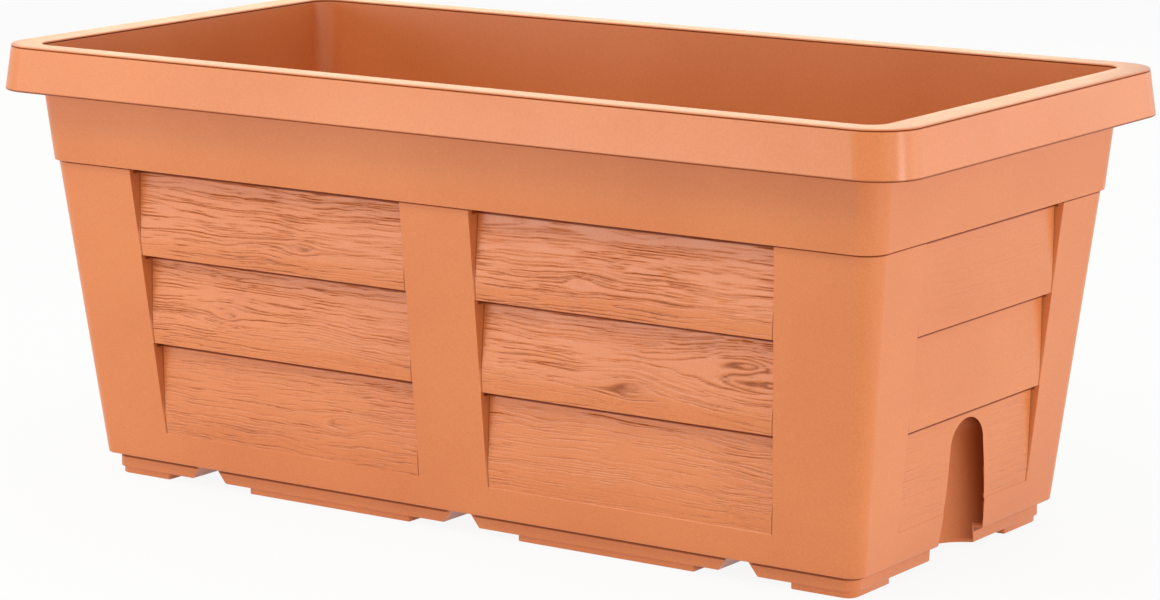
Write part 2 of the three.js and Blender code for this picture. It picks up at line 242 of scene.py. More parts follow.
# The patches that furrows come and go in: share of their depth left between patches, range of noise over
# which a patch sets in, length, spacing and seed
Patches = namedtuple("Patches", "least low high length gap seed")
Furrows = namedtuple("Furrows", "depth length gap width seed patches")
FURROWS = (  # from coarse to fine
    Furrows(0.34, 120, 2.4, 0.22, 2, Patches(0.35, 0.25, 0.60, 34, 2.6, 8)),
    Furrows(0.33, 70, 1.6, 0.21, 3, Patches(0.20, 0.30, 0.65, 24, 1.8, 9)),
    Furrows(0.29, 26, 1.3, 0.20, 4, Patches(0.00, 0.32, 0.60, 13, 1.6, 10)),
)
PROBE = 0.05  # distance over which a field's slope is measured
LEAST_SLOPE = 0.08  # keeps a furrow from spreading where its field is flat
FLAT, STEEP = 0.02, 0.22  # and it fades out between these slopes
SWELL = 0.04  # depth of the slow swell between furrows
CORE = 0.06  # depth of a knot's core
KNOT_STRETCH = 2.2  # a knot is this much longer along the grain than across it
KNOT_PUSH, KNOT_REACH = 0.8, 0.55  # how hard and how near its middle it pushes the grain apart, in its sizes
CORE_SHARE = 2.4  # a knot's size over its core's


def furrows(along, flow, length, gap, width, seed):
    """Long thin lines along the grain, about a gap apart: 1 in a line's middle, 0 away from it."""
    field = noise(along / length, flow / gap, seed)
    slope = np.abs(noise(along / length, (flow + PROBE) / gap, seed) - field) / PROBE
    away = np.abs(field - 0.5) / np.maximum(slope, LEAST_SLOPE)
    return np.exp(-((away / width) ** 2)) * smooth(FLAT, STEEP, slope * gap)


def grain(along, z, seed, knots):
    """Depth of the pressed grain on one plank: wavy furrows that part round the knots."""
    flow = z
    for height, length, gap, wave_seed in WAVES:
        flow = flow + height * (noise(along / length, z / gap, seed + wave_seed) - 0.5)
    cores = np.zeros_like(flow)
    for knot_along, knot_z, size in knots:
        across, up = (along - knot_along) / KNOT_STRETCH, z - knot_z
        reach = np.hypot(across, up) / size
        flow -= np.tanh(up / (KNOT_REACH * size)) * size * KNOT_PUSH * np.exp(-(reach**2))
        cores = np.maximum(cores, np.exp(-((CORE_SHARE * reach) ** 2)))
    lines = np.zeros_like(flow)
    for kind in FURROWS:
        drawn = furrows(along, flow, kind.length, kind.gap, kind.width, seed + kind.seed)
        patches = kind.patches
        here = noise(along / patches.length, flow / patches.gap, seed + patches.seed)
        share = patches.least + (1 - patches.least) * smooth(patches.low, patches.high, here)
        lines += kind.depth * drawn * share
    area = 0.60 + 0.40 * smooth(0.30, 0.62, noise(along / 60, z / 18, seed + 5))
    fibre = 0.75 + 0.5 * noise(along / 3, flow / 0.8, seed + 11)
    swell = SWELL * noise(along / 24, flow / 3.2, seed + 12)
    return lines * area * fibre + swell + CORE * cores


KNOTS = {  # by bay and plank, counted from the bottom: knots as (share of the bay's length, height, size)
    (0, 2): [(0.62, 152, 5)],
    (0, 1): [(0.30, 108, 7)],
    (0, 0): [(0.72, 52, 6)],
    (1, 2): [(0.36, 152, 5)],
    (1, 1): [(0.52, 97, 9), (0.90, 114, 17)],
    (1, 0): [(0.45, 62, 5)],
    (2, 1): [(0.35, 112, 6)],
    (3, 0): [(0.55, 55, 7)],
    (3, 2): [(0.30, 165, 6)],
    (4, 1): [(0.65, 108, 7)],
    (4, 2): [(0.40, 160, 5)],
    (5, 0): [(0.40, 60, 7)],
    (5, 1): [(0.70, 110, 6)],
}
FLANK = 0.6  # width taken by the flank of a bay
GRAIN_FADE = 1.2  # the grain runs out this far from a plank's ends
FOOT_FADE, TOP_FADE = 0.6, 0.8  # and this far from its foot and its top
NICHE_MARGIN, NICHE_FADE = 1.5, 4  # none within the first of a niche, all of it beyond the second


def niche_half_width(z):
    """Half the width of a niche's straight part at a height, and of its head's foot above that."""
    slope = (NICHE_FOOT_HALF - NICHE_SHOULDER_HALF) / (NICHE_SHOULDER_Z - WALL_FOOT)
    return NICHE_SHOULDER_HALF + slope * max(NICHE_SHOULDER_Z - z, 0)


def off_niche(along, z):
    """1 away from a niche on an end wall, down to 0 round its edge, which has no grain."""
    rise = max(z - NICHE_SHOULDER_Z, 0) / (NICHE_TOP_Z - NICHE_SHOULDER_Z)
    half_width = niche_half_width(z)
    away = (np.hypot(along / half_width, rise) - 1) * half_width
    return smooth(NICHE_MARGIN, NICHE_FADE, away)


def plank_seed(bay, plank):
    return 11 * bay + 3 * plank + 5


def grain_depth(z, along, inside, bays, strengths):
    """Depth of the grain at one height along a side, and nothing off the planks."""
    depth = np.zeros_like(along)
    for plank, (foot, top) in enumerate(PLANKS):
        if not foot < z < top:
            continue
        fade = smooth(-FOOT_FADE, FOOT_FADE, z - foot) * smooth(0, TOP_FADE, top - z) * strengths[plank]
        for bay in np.unique(bays[bays >= 0]):
            here = bays == bay
            start, length = along[here].min(), np.ptp(along[here])
            placed = KNOTS.get((int(bay), plank), [])
            knots = [(start + length * share, height, size) for share, height, size in placed]
            lines = grain(along[here], np.full(here.sum(), z), plank_seed(int(bay), plank), knots)
            depth[here] = lines * fade * smooth(FLANK, FLANK + GRAIN_FADE, inside[here])
    return depth


# ---------------------------------------------------------------- the columns of points along a side

POST = -1  # number of a bay that isn't one
SIDE_BAYS = ((0, 1), (2,), (3, 4), (5,))  # bays of the front, the right end, the back and the left end
BAY_STEP = 2.4  # spacing of columns on a plank
POST_COLUMNS = 3
BAY_OFFSETS = (0.1, 0.2, 0.3, 0.4, 0.5, 0.6, 0.85, 1.3, 2.2)  # columns just inside a bay's edge
POST_OFFSETS = (0.2, 0.5, 1.0, 2.2)  # columns on a post beside a bay


def spread(start, end, offsets, middle):
    """Positions from start up to, not including, end: offsets at both ends and an even middle."""
    near = [start] + [start + offset for offset in offsets]
    far = [end - offset for offset in reversed(offsets)]
    inner = np.linspace(near[-1], far[0], middle + 2)[1:-1]
    return np.array(near + list(inner) + far)


def bay_edge_side(z):
    t = (z - RAIL_TOP) / (BAND_FOOT - RAIL_TOP)
    return panel_at(z).half_length - (SIDE_POST_FOOT + (SIDE_POST_TOP - SIDE_POST_FOOT) * t)


def bay_edge_end(z):
    t = (z - RAIL_TOP) / (BAND_FOOT - RAIL_TOP)
    return panel_at(z).half_width - (END_POST_FOOT + (END_POST_TOP - END_POST_FOOT) * t)


SIDE_BAY_COLUMNS = int((bay_edge_side(BAND_FOOT) - CENTRE_POST / 2) / BAY_STEP)
END_BAY_COLUMNS = int(2 * bay_edge_end(BAND_FOOT) / BAY_STEP)


def side_columns(side, straight, z):
    """Positions along one straight side of a ring, from its start to before its end, each one's distance
    from the nearest bay edge, negative on posts, and the number of its bay, or POST."""
    if len(SIDE_BAYS[side]) == 2:
        left, right = SIDE_BAYS[side]
        edge, post = bay_edge_side(z), CENTRE_POST / 2
        breaks = [-straight, -edge, -post, post, edge, straight]
        bays = [POST, left, POST, right, POST]
        counts = [POST_COLUMNS, SIDE_BAY_COLUMNS, POST_COLUMNS, SIDE_BAY_COLUMNS, POST_COLUMNS]
    else:
        edge = bay_edge_end(z)
        breaks = [-straight, -edge, edge, straight]
        bays = [POST, *SIDE_BAYS[side], POST]
        counts = [POST_COLUMNS, END_BAY_COLUMNS, POST_COLUMNS]
    places, inside, numbers = [], [], []
    for bay, start, end, count in zip(bays, breaks, breaks[1:], counts):
        here = spread(start, end, POST_OFFSETS if bay == POST else BAY_OFFSETS, count)
        from_start = here - start if start > -straight else np.inf
        from_end = end - here if end < straight else np.inf
        places.append(here)
        inside.append(np.minimum(from_start, from_end) * (-1 if bay == POST else 1))
        numbers.append(np.full(len(here), bay))
    return np.concatenate(places), np.concatenate(inside), np.concatenate(numbers)


# ---------------------------------------------------------------- planks and painted shade on one row of points

# A row's last field is the shade painted into its colour, 0 for none and 1 for full
Row = namedtuple("Row", "outline kind dirt")  # kind is "plain", "outer" on the planks or "inner" behind them
CORNER_STEPS = 12
INNER_EASE = 0.8  # width over which the inside steps in behind a bay

GRAIN_PAINTED_SHADE = 0.7  # how dark the deepest furrows are painted, as shade in them
GRAIN_DEPTH = 0.32  # how deep those are
GRAIN_CONTRAST = 1.6  # and how much less shallow ones show
CREASE = 0.8  # how far inside a bay's edge the painted shade line beside its flank lies
CREASE_WIDTH, CREASE_PAINTED_SHADE = 0.3, 0.85
FLANK_DEPTH = 2  # a flank this deep gets its side's full painted shade
LAP_LINE = 1.1  # height of the painted shade line under a lap
LAP_PAINTED_SHADE = 0.95

# How a side is finished: recess of its planks' tops, step under the band, how much lower the painted shade
# line under a lap reaches for the lap's depth, strength of the grain on each plank from the bottom, shade
# painted in its furrows and on its bays' flanks, and whether it has a niche
Finish = namedtuple("Finish", "recess step lap_share grain furrow_dirt flank_dirt has_niche")
LONG_SIDE = Finish(SIDE_RECESS, STEP_SIDE, 0.24, (0.70, 1.0, 1.0), GRAIN_PAINTED_SHADE, 0.4, False)
END_SIDE = Finish(END_RECESS, STEP_END, 0.35, (0.60, 0.18, 0.24), 0.4 * GRAIN_PAINTED_SHADE, 0, True)


def plank_recess(z, top_recess):
    """How far a plank's face lies behind the posts at a height."""
    for foot, top in PLANKS:
        if foot <= z <= top:
            up = z - foot
            if foot == RAIL_TOP:
                top_recess = top_recess * LOW_PLANK_SHARE
            slope = (top_recess - FOOT_RECESS) / (top - foot - FLUSH_FOOT)
            rise = slope * (up - FLUSH_FOOT)
            recess = FOOT_RECESS + 0.5 * (rise + math.hypot(rise, FLUSH_EASE))
            if up < PLANK_EDGE and foot > RAIL_TOP:
                recess += PLANK_EDGE - math.sqrt(PLANK_EDGE**2 - (PLANK_EDGE - up) ** 2)
            return recess
    return 0.0


def inner_foot(foot):
    """Where the inside turns behind a plank's foot: under the lowest plank, over the lap of the others."""
    return foot - WALL if foot == RAIL_TOP else foot + WALL


def inner_recess(z, face_at, top_recess):
    """How far the inside stands in from the wall's own inside, behind the planks."""
    for foot, top in PLANKS:
        if inner_foot(foot) < z <= top + WALL:
            return face_at(z) - (face_at(top) - top_recess)
    return 0.0


def lap_painted_shade(z, finish, on_plank):
    """Painted shade in the crevice under each lap, and under the band's step."""
    for foot, top in PLANKS:
        if foot <= z <= top:
            under_band = finish.step if top == BAND_FOOT else 0
            plank_reach = LAP_LINE + finish.lap_share * (finish.recess + under_band)
            post_reach = LAP_LINE / 2 + finish.lap_share * under_band
            below = (top - z) / np.where(on_plank, plank_reach, post_reach)
            return LAP_PAINTED_SHADE * smooth(1.05, 0.8, below) * np.where(on_plank | (under_band > 0), 1, 0)
    return np.zeros(len(on_plank))


def outer_face(z, along, inside, bays, finish):
    """How far the outside lies behind the posts at one height along a side, and the shade painted on it."""
    lines = grain_depth(z, along, inside, bays, finish.grain)
    if finish.has_niche:
        lines *= off_niche(along, z)
    recess = plank_recess(z, finish.recess)
    # painted shade in the grain's furrows, darker the deeper they are
    furrow = finish.furrow_dirt * np.clip(lines / GRAIN_DEPTH, 0, 1) ** GRAIN_CONTRAST
    # a line of painted shade in the corner beside each bay's flank
    crease = CREASE_PAINTED_SHADE * np.exp(-(((inside - CREASE) / CREASE_WIDTH) ** 2))
    # painted shade on the bays' flanks, darker the deeper they are
    flank = finish.flank_dirt * min(recess / FLANK_DEPTH, 1) * (inside > 0.05) * (inside < FLANK)
    # painted shade under the laps and the band's step
    laps = lap_painted_shade(z, finish, inside > FLANK / 2)
    return recess * smooth(0, FLANK, inside) + lines, np.maximum.reduce([furrow, crease, flank, laps])


def ring_points(row):
    """The points of one row, anticlockwise from above from the front's left end, and the shade painted at
    each one.
    """
    outline, z = row.outline, row.outline.z
    columns_z = min(max(z, WALL_FOOT), BAND_FOOT)
    points, dirt = [], []
    for side in range(4):
        if side % 2 == 0:
            finish, half_along, face = LONG_SIDE, outline.half_length, "half_width"
        else:
            finish, half_along, face = END_SIDE, outline.half_width, "half_length"
        half_out = getattr(outline, face)
        straight = half_along - outline.radius
        along, inside, bays = side_columns(side, straight, columns_z)
        out = np.full_like(along, half_out)
        # painted shade: the row's own, or on the planks the one that outer_face gives
        point_shade = np.full_like(along, row.dirt)
        if row.kind == "outer":
            depth, point_shade = outer_face(z, along, inside, bays, finish)
            out -= depth
        if row.kind == "inner":
            step_in = inner_recess(z, lambda h: getattr(panel_at(h), face), finish.recess)
            out -= step_in * smooth(-WALL, INNER_EASE - WALL, inside)
        angles = np.arange(CORNER_STEPS) / CORNER_STEPS * math.pi / 2
        along = np.concatenate([along, straight + outline.radius * np.sin(angles)])
        out = np.concatenate([out, half_out - outline.radius * (1 - np.cos(angles))])
        cos, sin = (1, 0, -1, 0)[side], (0, 1, 0, -1)[side]
        x, y = along * cos + out * sin, along * sin - out * cos
        points.append(np.stack([x, y, np.full_like(x, z)], axis=1))
        dirt.append(np.concatenate([point_shade, np.full(CORNER_STEPS, point_shade[-1])]))
    return np.concatenate(points), np.concatenate(dirt)


# ---------------------------------------------------------------- the tub's rows of points

# no painted shade, and full painted shade in the fine lines pressed under the rim's edges
UNSHADED, GROOVE_PAINTED_SHADE = 0.0, 1.0
ROW_STEP = 0.33  # spacing of rows on a plank
PLANK_FOOT_ROWS = (0.03, 0.1, 0.2, PLANK_EDGE)  # rows just above a plank's foot
PLANK_TOP_ROWS = (0.6, 0.3, 0.03)  # and just below its top
RAIL_TOP_ROWS = (1.4, 0.4)  # the bottom rail's last rows below its top
SKIRT_ROUND = 1  # height of the rounding of the skirt's foot
GROOVE_HEIGHT, INNER_GROOVE_HEIGHT = 0.2, 0.3  # of the fine lines under the rim's outer and inner edge
FLOOR_ROUND = 1.2  # rounding between the floor and the wall inside
ROW_GAP = 0.05  # keeps rows above and below a turn in the inside apart
RING_PAINTED_SHADE, RING_SHADE_HEIGHT, RING_SHADE_FADE = 0.8, 2.4, 0.6  # painted shade on the foot ring, under the wall
# painted shade round the skirt's rounded foot and along its lower edge
SKIRT_FOOT_SHADE, SKIRT_EDGE_SHADE = 0.9, 0.7


def plain(outlines, dirt=UNSHADED):
    """Rows without planks, with the same painted shade all round."""
    return [Row(outline, "plain", dirt) for outline in outlines]


def foot_rows():
    """The foot ring's outside, the wall's foot and the bottom rail."""
    underside = inset(ring_top, EDGE, FLOOR_UNDER)
    rows = plain([underside, *rounded(underside, inset(ring_top, 0, FLOOR_UNDER + EDGE))])
    # painted shade on the ring's top, under the wall
    shade_foot = WALL_FOOT - RING_SHADE_HEIGHT
    rows += plain([inset(ring_top, 0, shade_foot - RING_SHADE_FADE)])
    rows += plain([inset(ring_top, 0, z) for z in (shade_foot, WALL_FOOT - FILLET)], RING_PAINTED_SHADE)
    rows += plain([inset(ring_top, -FILLET, WALL_FOOT)], RING_PAINTED_SHADE)
    start = inset(panel_at(WALL_FOOT), EDGE)
    rows += plain([start, *rounded(start, panel_at(WALL_FOOT + EDGE))])
    low, high = RAIL_TOP_ROWS
    heights = np.linspace(WALL_FOOT + EDGE, RAIL_TOP - low, 5)[1:]
    return rows + plain([panel_at(z) for z in (*heights, RAIL_TOP - high)])


def plank_rows():
    rows = []
    for foot, top in PLANKS:
        heights = [foot + up for up in PLANK_FOOT_ROWS]
        last = PLANK_TOP_ROWS[0]
        count = int((top - foot - PLANK_EDGE - last) / ROW_STEP)
        heights += list(np.linspace(foot + PLANK_EDGE, top - last, count + 1)[1:])
        heights += [top - down for down in PLANK_TOP_ROWS[1:]]
        rows += [Row(panel_at(z), "outer", UNSHADED) for z in heights]
    return rows


def band_rows():
    """The step under the band, and the band up to the rim's underside."""
    start = inset(band_foot, EDGE)
    rows = plain([start, *rounded(start, band_at(BAND_FOOT + EDGE))])
    heights = np.linspace(BAND_FOOT + EDGE, UNDER_RIM - UNDER_RIM_FILLET, 8)[1:]
    rows += plain([band_at(z) for z in heights])
    corner = band_at(UNDER_RIM)
    rows += plain([inset(corner, -FILLET, UNDER_RIM - FILLET)])
    return rows + plain([inset(corner, -UNDER_RIM_FILLET, UNDER_RIM)])


def skirt_rows():
    """Down the inside of the skirt, round its foot and up its outside to the pressed line."""
    inner_top = inset(skirt_at(UNDER_RIM), WALL)
    inner_foot_outline = inset(skirt_foot, WALL)
    rows = plain([inset(inner_top, UNDER_RIM_FILLET, UNDER_RIM)])
    rows += plain([inset(inner_top, 0, UNDER_RIM - UNDER_RIM_FILLET)])
    rows += plain([between(inner_foot_outline, inner_top, SKIRT_FOOT + up) for up in (5, SKIRT_ROUND)])
    # the skirt's rounded foot and the row above it carry painted shade
    middle = inset(skirt_foot, WALL / 2)
    for step in range(1, 6):
        angle = step / 6 * math.pi
        z = SKIRT_FOOT + SKIRT_ROUND - SKIRT_ROUND * math.sin(angle)
        rows += plain([inset(middle, WALL / 2 * math.cos(angle), z)], SKIRT_FOOT_SHADE)
    rows += plain([skirt_at(SKIRT_FOOT + 0.9)], SKIRT_EDGE_SHADE)
    groove_z = RIM_TOP - RIM_EDGE - RIM_GROOVE
    rows += plain([skirt_at(z) for z in np.linspace(SKIRT_FOOT + 1.5, groove_z - RIM_GROOVE, 6)])
    # the pressed line under the rim's outer edge, with painted shade in it
    groove = [inset(skirt_at(z), RIM_GROOVE) for z in (groove_z, groove_z + GROOVE_HEIGHT)]
    return rows + plain(groove, GROOVE_PAINTED_SHADE)


rim_lip = inset(band_at(RIM_TOP - LIP_EDGE), WALL)


def rim_rows():
    """Over the rim, from the skirt's rounded shoulder to the mouth's rounded lip."""
    shoulder = skirt_at(RIM_TOP - RIM_EDGE)
    rows = []
    for cos, sin in quarter_turn(4, first=0):
        rows += plain([inset(shoulder, RIM_EDGE * (1 - cos), shoulder.z + RIM_EDGE * sin)])
    outer, inner = inset(shoulder, RIM_EDGE, RIM_TOP), inset(rim_lip, -LIP_EDGE, RIM_TOP)
    rows += plain([mixed(outer, inner, t) for t in (0.25, 0.5, 0.75, 1.0)])
    for cos, sin in quarter_turn(4):
        rows += plain([inset(rim_lip, -LIP_EDGE * (1 - sin), rim_lip.z + LIP_EDGE * cos)])
    return rows


def inside_rows():
    """Down the inside of the band and the panels, and over the foot ring to the floor."""
    line_top = rim_lip.z - 0.2
    line_foot = line_top - INNER_GROOVE_HEIGHT
    # the pressed line inside the mouth, with painted shade in it
    rows = plain([inset(band_at(z), WALL - RIM_GROOVE) for z in (line_top, line_foot)], GROOVE_PAINTED_SHADE)
    ledge_z = BAND_FOOT + WALL
    heights = np.linspace(line_foot - RIM_GROOVE, ledge_z + EDGE, 8)
    rows += plain([inset(band_at(z), WALL) for z in heights])
    ledge = inset(band_at(ledge_z), WALL)
    rows += plain([inset(ledge, EDGE * 0.3, ledge_z + EDGE * 0.3), inset(ledge, EDGE, ledge_z)])
    for foot, top in reversed(PLANKS):
        heights = np.linspace(top + WALL - ROW_GAP, inner_foot(foot) + ROW_GAP, 4)
        rows += [Row(inset(panel_at(z), WALL), "inner", UNSHADED) for z in heights]
    turn_z = WALL_FOOT + WALL
    heights = np.linspace(RAIL_TOP - WALL - 2 * ROW_GAP, turn_z + FILLET, 3)
    rows += plain([inset(panel_at(z), WALL) for z in heights])
    rows += plain([inset(panel_at(turn_z), WALL + FILLET)])
    ring_places = ((WALL - FILLET, turn_z), (WALL, turn_z - FILLET))
    middle = 0.35  # where a rounding of that size passes its corner, from either face
    floor_places = (
        (WALL, FLOOR_TOP + FLOOR_ROUND),
        (WALL + middle, FLOOR_TOP + middle),
        (WALL + FLOOR_ROUND, FLOOR_TOP),
    )
    return rows + plain([inset(ring_top, amount, z) for amount, z in ring_places + floor_places])


def tub_rows():
    """Every row of the tub's skin, from its underside up the outside, over the rim and down the inside."""
    return foot_rows() + plank_rows() + band_rows() + skirt_rows() + rim_rows() + inside_rows()


# ---------------------------------------------------------------- closed bodies, joining and cutting them


def object_from(name, verts, faces):
    mesh = bpy.data.meshes.new(name)
    mesh.from_pydata(verts.tolist(), [], faces)
    mesh.update()
    obj = bpy.data.objects.new(name, mesh)
    bpy.context.scene.collection.objects.link(obj)
    return obj


def volume(verts, faces):
    """Signed volume of a closed body, times six."""
    fans = np.array([(face[0], face[i], face[i + 1]) for face in faces for i in range(1, len(face) - 1)])
    a, b, c = (verts[fans[:, corner]] for corner in range(3))
    return float(np.einsum("ij,ij->i", a, np.cross(b, c)).sum())


def skin(rings):
    """A closed body through rings of points of equal count: points in metres, and faces turned outward."""
    count = len(rings[0])
    verts = np.concatenate(rings) * MM
    faces = []
    for base in range(0, (len(rings) - 1) * count, count):
        for k in range(count):
            n = (k + 1) % count
            faces.append((base + k, base + n, base + count + n, base + count + k))
    last = (len(rings) - 1) * count
    faces.append(tuple(range(count - 1, -1, -1)))
    faces.append(tuple(range(last, last + count)))
    if volume(verts, faces) < 0:
        faces = [face[::-1] for face in faces]
    return verts, faces


def set_painted_shade(obj, values):
    """Keeps each point's painted shade, 0 for none and 1 for full, where the plastic's material reads it."""
    obj.data.attributes.new("dirt", "FLOAT", "POINT").data.foreach_set("value", values)


def joined(name, bodies, painted_shade_of):
    """One object holding several closed bodies, given as rings, with the shade painted on them."""
    verts, faces, dirt, base = [], [], [], 0
    for rings in bodies:
        body_verts, body_faces = skin(rings)
        verts.append(body_verts)
        dirt.append(painted_shade_of(rings))
        faces += [tuple(i + base for i in face) for face in body_faces]
        base += len(body_verts)
    obj = object_from(name, np.concatenate(verts), faces)
    set_painted_shade(obj, np.concatenate(dirt))
    return obj


def combine(obj, tool, operation):
    """Joins or cuts obj with tool, for good, and deletes the tool."""
    cut = obj.modifiers.new("cut", "BOOLEAN")
    cut.operation = operation
    cut.solver = "MANIFOLD"
    cut.object = tool
    depsgraph = bpy.context.evaluated_depsgraph_get()
    new = bpy.data.meshes.new_from_object(obj.evaluated_get(depsgraph))
    obj.modifiers.remove(cut)
    old, obj.data = obj.data, new
    bpy.data.meshes.remove(old)
    bpy.data.objects.remove(tool)


# ---------------------------------------------------------------- niches, channels, pads and drain holes

BELOW_TUB = -2  # cuts that open downward start here
PAST_WALL = 6  # cuts that open sideways end this far outside the wall's foot
HUMP_FOOT = FLOOR_UNDER + 0.4  # what stands up inside the tub starts here, within the floor
NICHE_STEPS = 160
# painted shade on a niche's back and on its flanks
NICHE_BACK_SHADE, NICHE_FLANK_SHADE = 0.05, 1.0
NICHE_FLANK_TURN = 6  # how closely a niche's painted shade keeps to its flanks
NICHE_TIP = 0.03  # share of its width and depth left at its very top


def box_rings(low, high):
    """Two rectangular rings, each given as (min x, max x, min y, max y, z)."""
    return [
        np.array([(x0, y0, z), (x1, y0, z), (x1, y1, z), (x0, y1, z)], float)
        for x0, x1, y0, y1, z in (low, high)
    ]


def niche_profile(grow, foot_z):
    """The niche's rings from its foot up: each one's height, half width and share of the full depth."""
    dome = NICHE_TOP_Z + grow - NICHE_SHOULDER_Z
    shoulder = NICHE_SHOULDER_HALF + grow
    profile = []
    for z in np.linspace(foot_z, NICHE_SHOULDER_Z, 16)[:-1]:
        profile.append((z, niche_half_width(z) + grow, 1.0))
    for cos, sin in quarter_turn(14, first=0)[:-1]:
        profile.append((NICHE_SHOULDER_Z + dome * sin, shoulder * cos, cos))
    profile.append((NICHE_TOP_Z + grow, shoulder * NICHE_TIP, NICHE_TIP))
    return profile


def niche_rings(side, grow, foot_z, behind_face):
    """The niche's space, or, kept behind the planks' faces, the hump that it makes inside the tub."""
    middle = panel_foot.half_length + NICHE_OUT
    half_depth = NICHE_DEPTH + NICHE_OUT + grow
    angles = np.arange(NICHE_STEPS) / NICHE_STEPS * 2 * math.pi
    rings = []
    for z, half_width, share in niche_profile(grow, foot_z):
        x = middle + half_depth * share * np.cos(angles)
        if behind_face:
            foot_inset = RING_INSET if z < WALL_FOOT + 1 else 0
            face = panel_at(max(z, WALL_FOOT)).half_length - foot_inset - plank_recess(z, END_RECESS)
            x = np.minimum(x, face - WALL / 2)
        rings.append(np.stack([side * x, half_width * np.sin(angles), np.full(NICHE_STEPS, z)], axis=1))
    return rings


def channel_middles():
    first = END_BAY - ring_top.half_length
    spacing = -2 * first / (CHANNEL_COUNT - 1)
    return [first + number * spacing for number in range(CHANNEL_COUNT)]


def channel_rings(middle, grow, reach, low_z):
    """An air channel's space, or, grown by the wall's thickness, the hump that it makes inside the tub."""
    slope = (CHANNEL_FOOT - CHANNEL_ROOF) / 2 / CHANNEL_HEIGHT
    roof_z = FLOOR_UNDER + CHANNEL_HEIGHT + grow
    roof = CHANNEL_ROOF / 2 + grow
    low = CHANNEL_FOOT / 2 + grow + slope * (FLOOR_UNDER - low_z)
    return box_rings(
        (middle - low, middle + low, -reach, reach, low_z),
        (middle - roof, middle + roof, -reach, reach, roof_z),
    )


def pad_rectangles():
    """Plan rectangles of all pads: min x, max x, min y, max y."""
    middles = channel_middles()[CHANNEL_COUNT // 2 :]
    quarter = [(pad_ring.half_length - CORNER_PAD, pad_ring.half_length)]
    for inner, outer in zip(middles, middles[1:]):
        quarter.append((inner + PAD_TO_INNER, outer - PAD_TO_OUTER))
    y0, y1 = pad_ring.half_width - PAD_DEPTH, pad_ring.half_width
    rectangles = []
    for x0, x1 in quarter:
        for sx in (-1, 1):
            for sy in (-1, 1):
                rectangles.append((*sorted((sx * x0, sx * x1)), *sorted((sy * y0, sy * y1))))
    return rectangles


def pad_points(rectangle, amount, z):
    """One pad's outline drawn in by an amount, rounder at the tub's own corner."""
    x0, x1, y0, y1 = rectangle
    points = []
    for quadrant, (cx, cy) in enumerate(((x1, y1), (x0, y1), (x0, y0), (x1, y0))):
        at_corner = abs(abs(cx) - pad_ring.half_length) < 0.1 and abs(abs(cy) - pad_ring.half_width) < 0.1
        radius = max((PAD_RADIUS if at_corner else PAD_EDGE) - amount, 0.4)
        centre_x = cx + (amount + radius) * (-1 if cx == x1 else 1)
        centre_y = cy + (amount + radius) * (-1 if cy == y1 else 1)
        for step in range(5):
            angle = (quadrant + step / 4) * math.pi / 2
            points.append((centre_x + radius * math.cos(angle), centre_y + radius * math.sin(angle), z))
    return np.array(points)


def pad_body(rectangle):
    """A pad with a rounded foot, reaching up into the tub's floor."""
    levels = ((0.6, 0), (0.18, 0.18), (0, 0.6), (0, FLOOR_UNDER + 0.8))
    return [pad_points(rectangle, amount, z) for amount, z in levels]


def drain_places():
    """Middles of the drain holes: two in each bay of the floor between the channels."""
    edges = [-ring_top.half_length, *channel_middles(), ring_top.half_length]
    places = []
    for left, right in zip(edges, edges[1:]):
        places += [((left + right) / 2, -DRAIN_ROW), ((left + right) / 2, DRAIN_ROW)]
    return places


def turned_rings(profile, steps=48):
    """Rings of a turned body, from its profile's radii and heights."""
    angles = np.arange(steps) / steps * 2 * math.pi
    circle = np.stack([np.cos(angles), np.sin(angles), np.zeros(steps)], axis=1)
    return [circle * radius + (0, 0, z) for radius, z in profile]


def unshaded(rings):
    return np.zeros(sum(len(ring) for ring in rings))


def niche_painted_shade(rings):
    """Painted shade on the flanks of a niche, less on its back, and none in other hollows."""
    if len(rings[0]) != NICHE_STEPS:
        return unshaded(rings)
    angles = np.arange(NICHE_STEPS) / NICHE_STEPS * 2 * math.pi
    added = (NICHE_FLANK_SHADE - NICHE_BACK_SHADE) * np.sin(angles) ** NICHE_FLANK_TURN
    return np.tile(NICHE_BACK_SHADE + added, len(rings))


def make_tub():
    rings, dirt = zip(*(ring_points(row) for row in tub_rows()))
    tub = object_from("tub_shell", *skin(rings))
    set_painted_shade(tub, np.concatenate(dirt))

    hump_reach = ring_top.half_width - WALL / 2
    humps = [channel_rings(x, WALL, hump_reach, HUMP_FOOT) for x in channel_middles()]
    humps += [niche_rings(side, WALL, HUMP_FOOT, behind_face=True) for side in (-1, 1)]
    humps += [pad_body(pad) for pad in pad_rectangles()]
    combine(tub, joined("humps", humps, unshaded), "UNION")

    cut_reach = panel_foot.half_width + PAST_WALL
    cuts = [channel_rings(x, 0, cut_reach, BELOW_TUB) for x in channel_middles()]
    cuts += [niche_rings(side, 0, BELOW_TUB, behind_face=False) for side in (-1, 1)]
    for pad in pad_rectangles():
        cuts.append([pad_points(pad, WALL, z) for z in (WALL, FLOOR_TOP + 2)])
    hole = turned_rings(((HOLE_RADIUS, BELOW_TUB), (HOLE_RADIUS, FLOOR_TOP + 3)))
    for x, y in drain_places():
        cuts.append([ring + (x, y, 0) for ring in hole])
    combine(tub, joined("cuts", cuts, niche_painted_shade), "DIFFERENCE")
    return tub


# ---------------------------------------------------------------- drain plugs


